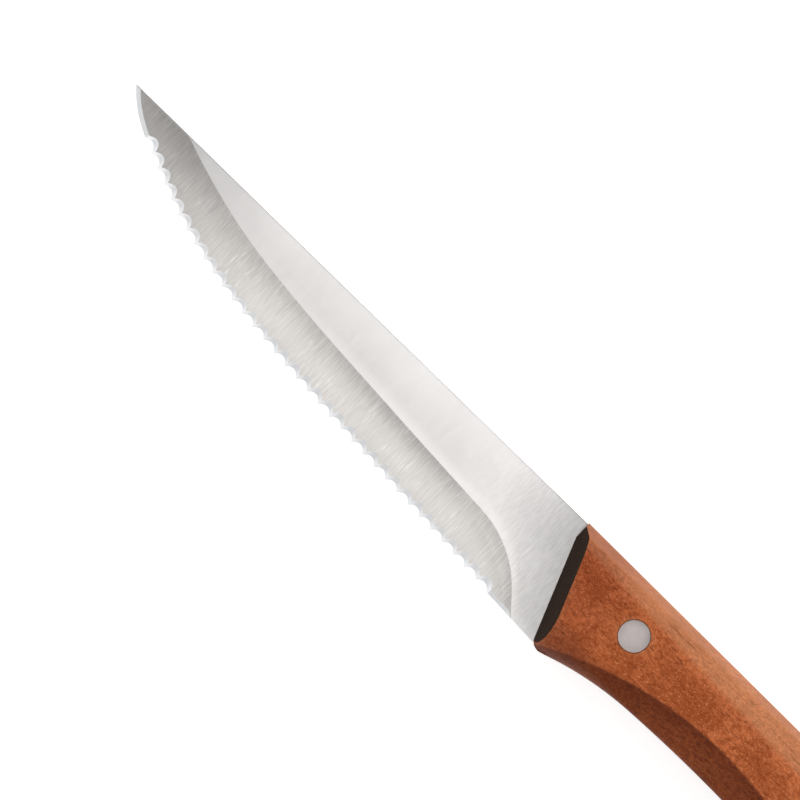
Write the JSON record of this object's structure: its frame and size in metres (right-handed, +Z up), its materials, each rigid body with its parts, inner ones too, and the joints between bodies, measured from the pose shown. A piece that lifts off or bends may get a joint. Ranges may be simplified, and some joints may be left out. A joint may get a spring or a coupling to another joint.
{
  "type": "steak knife",
  "caption": "Steak knife with a hollow-ground serrated blade and a faceted wooden handle held by flush rivets, lying on its side.",
  "frame": {"origin": "on the handle's lower side face, midway between the two rivets", "axes": "+X towards the butt, +Y towards the spine, +Z up from the surface that the knife lies on"},
  "size_m": [0.23, 0.0246, 0.015],
  "materials": {
    "blade_steel": "stainless steel, brushed across the blade, hollow ground",
    "handle_wood": "reddish brown hardwood, oiled, dark end grain",
    "rivet_metal": "satin, sanded flush with the wood"
  },
  "bodies": {
    "root": {"blade": "blade_steel", "handle": "handle_wood", "rivet_pin_front": "rivet_metal", "rivet_sleeve_front": "rivet_metal", "rivet_pin_rear": "rivet_metal", "rivet_sleeve_rear": "rivet_metal"}
  },
  "joints": []
}
